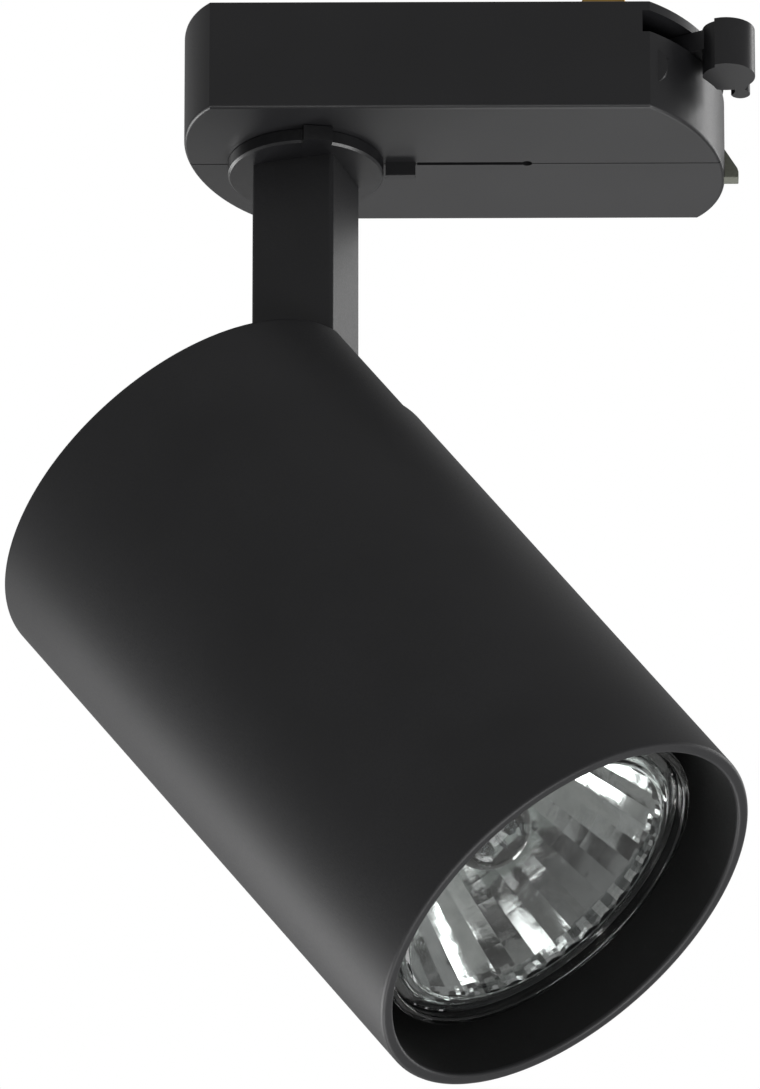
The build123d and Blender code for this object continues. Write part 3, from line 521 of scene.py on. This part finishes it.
COPIED = {
    # node: (body, record slot, material)
    "housing_front": ("adaptor", "black_moulding", "abs_moulded_black"),
    "housing_rear": ("adaptor", "black_moulding", "abs_moulded_black"),
    "guide_block": ("adaptor", "black_moulding", "abs_moulded_black"),
    "end_lug": ("adaptor", "olive_moulding", "acetal_olive"),
    "swivel_stop": ("adaptor", "black_disc", "polycarbonate_black"),
    "earth_clip": ("adaptor", "contact_brass", "rolled_brass"),
    "housing_screw_1": ("adaptor", "screw_steel", "black_oxide_steel"),
    "housing_screw_2": ("adaptor", "screw_steel", "black_oxide_steel"),
    "lock_lever": ("lever", "black_moulding", "abs_moulded_black"),
    "rotor": ("lever", "nylon", "nylon_natural"),
    "contact_live": ("lever", "contact_brass", "rolled_brass"),
    "contact_neutral": ("lever", "contact_brass", "rolled_brass"),
    "swivel_disc": ("stem", "black_disc", "polycarbonate_black"),
    "stem": ("stem", "black_powder_coat", "powder_coat_black"),
    "pivot_bush": ("stem", "contact_brass", "rolled_brass"),
    "back_cap": ("head", "black_powder_coat", "powder_coat_black"),
    "pivot_bracket": ("head", "bracket_steel", "zinc_plated_steel"),
    "pivot_pin": ("head", "screw_steel", "black_oxide_steel"),
    "pivot_nut": ("head", "screw_steel", "black_oxide_steel"),
    "friction_washer_1": ("head", "friction_fibre", "vulcanised_fibre"),
    "friction_washer_2": ("head", "friction_fibre", "vulcanised_fibre"),
    "cap_screw_1": ("head", "screw_steel", "black_oxide_steel"),
    "cap_screw_2": ("head", "screw_steel", "black_oxide_steel"),
    "tube_screw_1": ("head", "screw_steel", "black_oxide_steel"),
    "tube_screw_2": ("head", "screw_steel", "black_oxide_steel"),
    "lampholder": ("head", "steatite", "steatite_fired"),
    "lamp_base": ("lamp", "steatite", "steatite_fired"),
}

# how far each of these is eased at its sharp edges
EASED = {
    "housing_front": 0.10 * MM,
    "housing_rear": 0.10 * MM,
    "lock_lever": 0.25 * MM,
    "end_lug": 0.12 * MM,
    "swivel_stop": 0.08 * MM,
    "stem": 0.10 * MM,
}

INSIDE = {
    # CAD nodes that stay as they are, inside the housing, the stem or the head
    "nylon_natural": ("floor_bush", "terminal_block"),
    "black_oxide_steel": (
        "terminal_screw_1",
        "terminal_screw_2",
        "terminal_screw_3",
        "lever_screw",
        "holder_screw_1",
        "holder_screw_2",
    ),
    "zinc_plated_steel": ("swivel_nipple", "swivel_washer", "swivel_nut", "cap_post_1", "cap_post_2"),
    "rolled_brass": ("holder_contact_1", "holder_contact_2"),
    "glass_sleeve": ("stem_lead_1", "stem_lead_2", "holder_lead_1", "holder_lead_2"),
    "nickel_plated_brass": ("lamp_pin_1", "lamp_pin_2"),
}


class SPOT_OT_mouldings(bpy.types.Operator):
    """Finishes the adaptor, lever, stem and hardware from their CAD surfaces"""

    bl_idname = "spot.mouldings"
    bl_label = "Mouldings and hardware"

    def execute(self, context):
        for node, (body, slot, material) in COPIED.items():
            ease = EASED.get(node, 0.0)
            settle(smooth_copy(node, ease=ease), body, MATERIALS[material], (node,))
        for material, nodes in INSIDE.items():
            for node in nodes:
                surface = frame["nodes"][node].data
                surface.materials.clear()
                surface.materials.append(MATERIALS[material])
        return {"FINISHED"}


class SPOT_OT_tube(bpy.types.Operator):
    """Builds the tube with its slot as one closed surface"""

    bl_idname = "spot.tube"
    bl_label = "Head tube"

    def execute(self, context):
        """The wall's outline (r, z) is carried round the beam. Beside the slot, an angle a is
        asin(half slot / r) so that the slot's walls are parallel, and in the slot the outline starts
        at the slot's end instead of the back edge."""
        size = context.scene.spot_head
        outer, inner, edge = size.radius, size.radius - size.wall, size.edge
        ease_steps, wall_columns, slot_columns = 6, 360, 25

        def wall_outline(back, seam):
            """The wall's closed outline from its back edge, with a seam row at the slot's end."""
            corners = [(inner, back), (outer, back), (outer, size.tube), (inner, size.tube)]
            eased = rounded(corners, edge, ease_steps)
            back_rows, front_rows = eased[: 2 * ease_steps], eased[2 * ease_steps :]
            return np.concatenate([back_rows, [(outer, seam)], front_rows, [(inner, seam)]])

        seam = size.slot_length + 2 * edge
        outside, within = wall_outline(0.0, seam), wall_outline(size.slot_length, seam)
        half = np.arcsin(0.5 * size.slot_width / outside[:, 0])[:, None]
        round_trip = np.linspace(0, 1, wall_columns)[None, :]
        across = np.linspace(-1, 1, slot_columns)[None, :]
        angles = np.concatenate([half + (2 * pi - 2 * half) * round_trip, 2 * pi + half * across], axis=1)
        radius = np.broadcast_to(outside[:, 0][:, None], angles.shape)
        along = np.concatenate(
            [
                np.broadcast_to(outside[:, 1][:, None], (len(outside), wall_columns)),
                np.broadcast_to(within[:, 1][:, None], (len(within), slot_columns)),
            ],
            axis=1,
        )
        points = head_points(radius * np.cos(angles), radius * np.sin(angles), along)
        faces = grid_faces(len(outside), angles.shape[1], True, True)
        tube = new_piece("head_tube_shell", points, faces, 40.0)
        tube.data.materials.append(MATERIALS["powder_coat_black"])
        tube.data.materials.append(MATERIALS["powder_coat_bore_painted_shade"])
        centres = np.zeros(len(tube.data.polygons) * 3)
        tube.data.polygons.foreach_get("center", centres)
        offset = centres.reshape(-1, 3) - HEAD_BACK
        distance = np.linalg.norm(offset - (offset @ BEAM)[:, None] * BEAM, axis=1)
        # the bore's faces take the coat that is painted darker as shade
        bore = (distance < inner + 0.1 * MM) & (offset @ BEAM < size.tube - edge)
        tube.data.polygons.foreach_set("material_index", bore.astype(np.int32))
        settle(tube, "head", None, ("head_tube",))
        return {"FINISHED"}


class SPOT_OT_dish(bpy.types.Operator):
    """Builds the faceted reflector"""

    bl_idname = "spot.dish"
    bl_label = "Reflector dish"

    def execute(self, context):
        """The inside is the paraboloid r^2 = 16.3 (z - 50) mm cut into flat facets: each patch is the plane
        blend of its four corners on the paraboloid. The last tier ends in scallops, and the outside is the
        paraboloid r^2 = 17.5 (z - 46.5) mm."""
        size = context.scene.spot_lamp
        steps, back_rows = 4, 26
        neck, mouth = 5.2 * MM, size.aperture
        bowl_floor, bowl_spread = 50.0 * MM, 16.3 * MM
        shell_floor, shell_spread = 46.5 * MM, 17.5 * MM
        hollow, wave = 0.015 * MM, 0.7 * MM
        seat, seat_gap, rim_height = size.rim_radius - 1.4 * MM, 0.15 * MM, 3.0 * MM
        foot, foot_radius, shell_start = 45.0 * MM, 7.4 * MM, 49.6 * MM
        tier_radius = neck + (mouth - neck) * np.linspace(0, 1, size.tiers + 1) ** 1.12
        tier = np.arange(size.tiers * steps + 1) / steps
        low = np.minimum(tier.astype(int), size.tiers - 1)
        part = (tier - low)[:, None]

        def depth(radius):
            return bowl_floor + radius**2 / bowl_spread

        count = size.facets * steps
        turn = np.arange(count) / steps
        left = turn.astype(int)
        share = (turn - left)[None, :]
        corner = 2 * pi / size.facets

        def ring_points(radius, angle, along):
            across = radius * np.cos(angle), radius * np.sin(angle)
            return np.stack(np.broadcast_arrays(*across, along), axis=-1)

        def facet_corner(rings, sides):
            radius, angle = tier_radius[rings][:, None], corner * sides[None, :]
            return ring_points(radius, angle, depth(radius))

        near_left, near_right = facet_corner(low, left), facet_corner(low, left + 1)
        far_left, far_right = facet_corner(low + 1, left), facet_corner(low + 1, left + 1)
        s, t = share[..., None], part[..., None]
        inside = (1 - t) * ((1 - s) * near_left + s * near_right) + t * ((1 - s) * far_left + s * far_right)
        # each facet is pressed a little hollow, most at its middle
        inside[..., 2] -= hollow * (4 * share * (1 - share)) * (4 * part * (1 - part))
        # the mouth row waves along the beam, once a facet: the scalloped facet ends
        scallop = wave * np.abs(np.sin(pi * share)) * np.clip(tier - size.tiers + 1, 0, 1)[:, None] ** 2
        inside[..., 2] -= scallop

        angle = 2 * pi * np.arange(count) / count
        back_z = np.linspace(size.rim_front - rim_height, shell_start, back_rows)
        outer_outline = np.concatenate(
            [
                [(mouth, size.glass_back - seat_gap), (seat, size.glass_back - seat_gap)],
                np.stack([np.sqrt(shell_spread * (back_z - shell_floor)), back_z], axis=1),
                [(foot_radius, foot), (neck, foot)],
            ]
        )
        outside = ring_points(outer_outline[:, 0][:, None], angle, outer_outline[:, 1][:, None])
        shell = np.concatenate([inside, outside])
        points = head_points(shell[..., 0], shell[..., 1], shell[..., 2])
        dish = new_piece("reflector_dish", points, grid_faces(len(shell), count, True, True), 2.4)
        dish.data.materials.append(MATERIALS["aluminised_facets"])
        dish.data.materials.append(MATERIALS["dish_back"])
        centres = np.zeros(len(dish.data.polygons) * 3)
        normals = np.zeros(len(dish.data.polygons) * 3)
        dish.data.polygons.foreach_get("center", centres)
        dish.data.polygons.foreach_get("normal", normals)
        offset = centres.reshape(-1, 3) - HEAD_BACK
        from_axis = offset - (offset @ BEAM)[:, None] * BEAM
        faces_out = np.einsum("ij,ij->i", from_axis, normals.reshape(-1, 3)) > 0
        past_mouth = np.linalg.norm(from_axis, axis=1) > mouth * 0.998
        dish.data.polygons.foreach_set("material_index", (faces_out | past_mouth).astype(np.int32))
        dish.data.polygons.foreach_set("use_smooth", faces_out | past_mouth)
        settle(dish, "lamp", None, ("reflector",))
        return {"FINISHED"}


class SPOT_OT_cover_glass(bpy.types.Operator):
    """Builds the pressed cover glass and its round-edged glass rim"""

    bl_idname = "spot.cover_glass"
    bl_label = "Cover glass and rim"

    def execute(self, context):
        """The rim is a round-edged ring. The lens is a disc whose front stands crown (1 - (r/R)^2) high, and
        near its edge two pressed steps each add step / (1 + exp((r - place) / softness)) to it."""
        size = context.scene.spot_lamp
        rim, front, back = size.rim_radius, size.rim_front, size.glass_back
        seat, foot = rim - 1.3 * MM, front - 3.0 * MM
        bore, foot_inner = seat + 0.1 * MM, rim - 0.9 * MM
        corners = [(bore, back), (bore, front), (rim, front), (rim, foot), (foot_inner, foot)]
        corner_easing = np.array([0.1, 0.45, 0.45, 0.3, 0.1]) * MM
        ring_outline = rounded(corners, corner_easing, 6)
        ring = turned("lamp_rim_glass", ring_outline, 256, 50.0)
        settle(ring, "lamp", MATERIALS["borosilicate_pressed"])

        edge, chamfer_high, chamfer_wide = seat - 0.05 * MM, 0.25 * MM, 0.2 * MM
        crown, step, softness, drop = 0.35 * MM, 0.3 * MM, 0.09 * MM, 0.6 * MM
        step_places = (20.9 * MM, 22.1 * MM)
        spread = np.linspace(0, 1, 90) ** 0.7
        radius = edge * spread
        steps = sum(1 / (1 + np.exp((radius - place) / softness)) for place in step_places)
        face = size.glass_front - drop + step * steps + crown * (1 - spread**2)
        side = [(edge, back + chamfer_high), (edge - chamfer_wide, back), (0.0, back)]
        lens_outline = np.concatenate([np.stack([radius, face], 1), side])
        lens = turned("cover_glass_lens", lens_outline, 192, 30.0, ring=False)
        settle(lens, "lamp", MATERIALS["borosilicate_pressed"], ("cover_glass",))
        return {"FINISHED"}


class SPOT_OT_burner(bpy.types.Operator):
    """Builds the quartz burner, its coil and its supports"""

    bl_idname = "spot.burner"
    bl_label = "Burner"

    def execute(self, context):
        """The envelope is a turned tube with a domed tip, R cos a wide and 0.8 R sin a high. The coil is a
        helix whose middle line is bent into a W: its height runs as |((legs t) mod 2) - 1|."""
        size = context.scene.spot_lamp
        tip, radius = size.burner_tip, size.burner_radius
        wall, tip_wall, dome_high = 0.8 * MM, 1.1 * MM, radius * 0.8
        pinch, pinch_foot = 4.6 * MM, 47.0 * MM
        shoulder, side_top = 54.4 * MM, 60.0 * MM
        dome = np.linspace(0, pi / 2, 14)
        foot = [(0.0, pinch_foot), (4.4 * MM, pinch_foot), (pinch, 47.4 * MM), (pinch, 52.5 * MM)]
        shoulders = [(5.2 * MM, 53.4 * MM), (radius, shoulder), (radius, side_top)]
        outer_dome = np.stack([radius * np.cos(dome), tip - dome_high + dome_high * np.sin(dome)], 1)
        back_down = dome[::-1]
        inner_high = tip - dome_high + (dome_high - tip_wall) * np.sin(back_down)
        inner_dome = np.stack([(radius - wall) * np.cos(back_down), inner_high], 1)
        floor = [(radius - wall, side_top), (radius - wall - 0.6 * MM, 55.4 * MM), (0.0, 55.0 * MM)]
        outline = np.concatenate([foot, shoulders, outer_dome, inner_dome, floor])
        envelope = turned("burner_envelope", outline, 96, 40.0, ring=False)
        settle(envelope, "lamp", MATERIALS["quartz_blown"], ("capsule",))

        coil_radius, coil_wire, coil_turns, legs = 0.35 * MM, 0.09 * MM, 70, 4
        half_span, coil_low, coil_rise = 2.6, 59.5, 8.5
        t = np.linspace(0, 1, 1100)
        sweep = np.abs(((t * legs) % 2) - 1)
        centre_x = (-half_span + 2 * half_span * t) * MM
        centre_z = (coil_low + coil_rise * sweep) * MM
        turns = 2 * pi * coil_turns * t
        coil = head_points(
            centre_x + coil_radius * np.cos(turns), coil_radius * np.sin(turns), centre_z
        )
        filament = wire("filament_coil", coil, coil_wire, 6)
        settle(filament, "lamp", MATERIALS["tungsten_wire"], ("filament",))

        # three stays stand beside the coil, and the middle one reaches its peak
        stay_foot, stay_wire, stay_side = 55.2, 0.2 * MM, 0.5 * MM
        for number, (x, top) in enumerate(((-half_span, coil_low), (0.0, 68.4), (half_span, coil_low))):
            path = head_points(x * MM, stay_side, np.linspace(stay_foot, top, 8) * MM)
            stay = wire(f"filament_stay_{number + 1}", path, stay_wire, 8)
            settle(stay, "lamp", MATERIALS["tungsten_wire"])
        return {"FINISHED"}


# ---- stage --------------------------------------------------------------------------------------


def aim_at(thing, target):
    """Turns an object so that its own -Z points at the target, with +Y up."""
    direction = Vector(target) - thing.location
    thing.rotation_euler = direction.to_track_quat("-Z", "Y").to_euler()


def softbox(name, place, target, width, height, power):
    """A rectangular area light."""
    data = bpy.data.lights.new(name, "AREA")
    data.shape, data.size, data.size_y, data.energy = "RECTANGLE", width, height, power
    light = bpy.data.objects.new(name, data)
    light.location = place
    aim_at(light, target)
    bpy.context.scene.collection.objects.link(light)


SOFTBOXES = (
    # name, place in metres, width, height, watts
    ("softbox_left", (-1.25, 1.15, -1.05), 0.8, 1.4, 24),
    ("softbox_right", (1.35, 1.15, 0.45), 0.6, 1.3, 8),
    ("softbox_below", (0.15, 1.25, -1.65), 0.9, 0.6, 9),
    ("softbox_beam", (0.85, -0.35, -1.25), 0.9, 0.9, 13),
    ("softbox_under", (0.02, -0.03, -1.9), 0.26, 0.26, 1.6),
    ("softbox_near_camera", (0.06, -1.28, -0.98), 0.42, 0.30, 2.4),
)


class SPOT_OT_stage(bpy.types.Operator):
    """Builds the floor, lights, surround and camera"""

    bl_idname = "spot.stage"
    bl_label = "Stage"

    def execute(self, context):
        size, scene = context.scene.spot_stage, context.scene
        half = 6.0
        around = ((-half, -half), (half, -half), (half, half), (-half, half))
        corners = np.array([(x, y, -size.floor) for x, y in around])
        floor = new_piece("floor", corners, np.array([[0, 1, 2, 3]]))
        floor_colours = (scene.spot_colours.floor, "#f2f2f0")
        floor.data.materials.append(grained("painted_floor", floor_colours, (0.6, 0.7), 6.0, 0.1))

        world = bpy.data.worlds.new("surround")
        world.use_nodes = True
        scene.world = world
        scene.view_settings.view_transform = "Standard"
        tree = world.node_tree
        tree.nodes.clear()
        white = (1, 1, 1, 1)
        seen = add_node(tree, "ShaderNodeBackground", inputs={"Color": white, "Strength": 1.0})
        light = add_node(
            tree, "ShaderNodeBackground", inputs={"Color": white, "Strength": size.surround}
        )
        path = add_node(tree, "ShaderNodeLightPath")
        mix = add_node(
            tree,
            "ShaderNodeMixShader",
            {"Fac": path.outputs["Is Camera Ray"], 1: light.outputs[0], 2: seen.outputs[0]},
        )
        add_node(tree, "ShaderNodeOutputWorld", {"Surface": mix.outputs[0]})

        middle = Vector(size.aim)
        for name, place, width, height, power in SOFTBOXES:
            softbox(name, place, middle, width, height, power)

        camera = bpy.data.objects.new("camera", bpy.data.cameras.new("camera"))
        camera.data.lens = size.lens
        camera.data.sensor_width = 36.0
        forward = Vector(
            (
                sin(size.azimuth) * cos(size.elevation),
                cos(size.azimuth) * cos(size.elevation),
                -sin(size.elevation),
            )
        )
        camera.location = middle - forward * size.distance
        aim_at(camera, middle)
        scene.collection.objects.link(camera)
        scene.camera = camera
        return {"FINISHED"}


class SPOT_PT_panel(bpy.types.Panel):
    """Lists the spotlight's sizes and the operators that build it"""

    bl_idname = "SPOT_PT_panel"
    bl_label = "Track spotlight"
    bl_space_type = "VIEW_3D"
    bl_region_type = "UI"
    bl_category = "Spotlight"

    def draw(self, context):
        for group in (context.scene.spot_head, context.scene.spot_lamp, context.scene.spot_stage):
            box = self.layout.box()
            for key in group.bl_rna.properties.keys():
                if key not in {"rna_type", "name"}:
                    box.prop(group, key)
        for operator in OPERATORS:
            self.layout.operator(operator.bl_idname)


GROUPS = (
    ("spot_head", SPOT_PG_head),
    ("spot_lamp", SPOT_PG_lamp),
    ("spot_stage", SPOT_PG_stage),
    ("spot_colours", SPOT_PG_colours),
)
OPERATORS = (
    SPOT_OT_materials,
    SPOT_OT_mouldings,
    SPOT_OT_tube,
    SPOT_OT_dish,
    SPOT_OT_cover_glass,
    SPOT_OT_burner,
    SPOT_OT_stage,
)


def register():
    """Registers the settings, the operators and the panel."""
    for _, group in GROUPS:
        bpy.utils.register_class(group)
    for operator in OPERATORS:
        bpy.utils.register_class(operator)
    bpy.utils.register_class(SPOT_PT_panel)
    for name, group in GROUPS:
        setattr(bpy.types.Scene, name, PointerProperty(type=group))


def unregister():
    """Takes everything that register added away again."""
    for name, _ in reversed(GROUPS):
        delattr(bpy.types.Scene, name)
    bpy.utils.unregister_class(SPOT_PT_panel)
    for operator in reversed(OPERATORS):
        bpy.utils.unregister_class(operator)
    for _, group in reversed(GROUPS):
        bpy.utils.unregister_class(group)


def main():
    register()
    bpy.ops.spot.materials()
    bpy.ops.spot.mouldings()
    bpy.ops.spot.tube()
    bpy.ops.spot.dish()
    bpy.ops.spot.cover_glass()
    bpy.ops.spot.burner()
    bpy.ops.spot.stage()


if __name__ == "__main__":
    main()
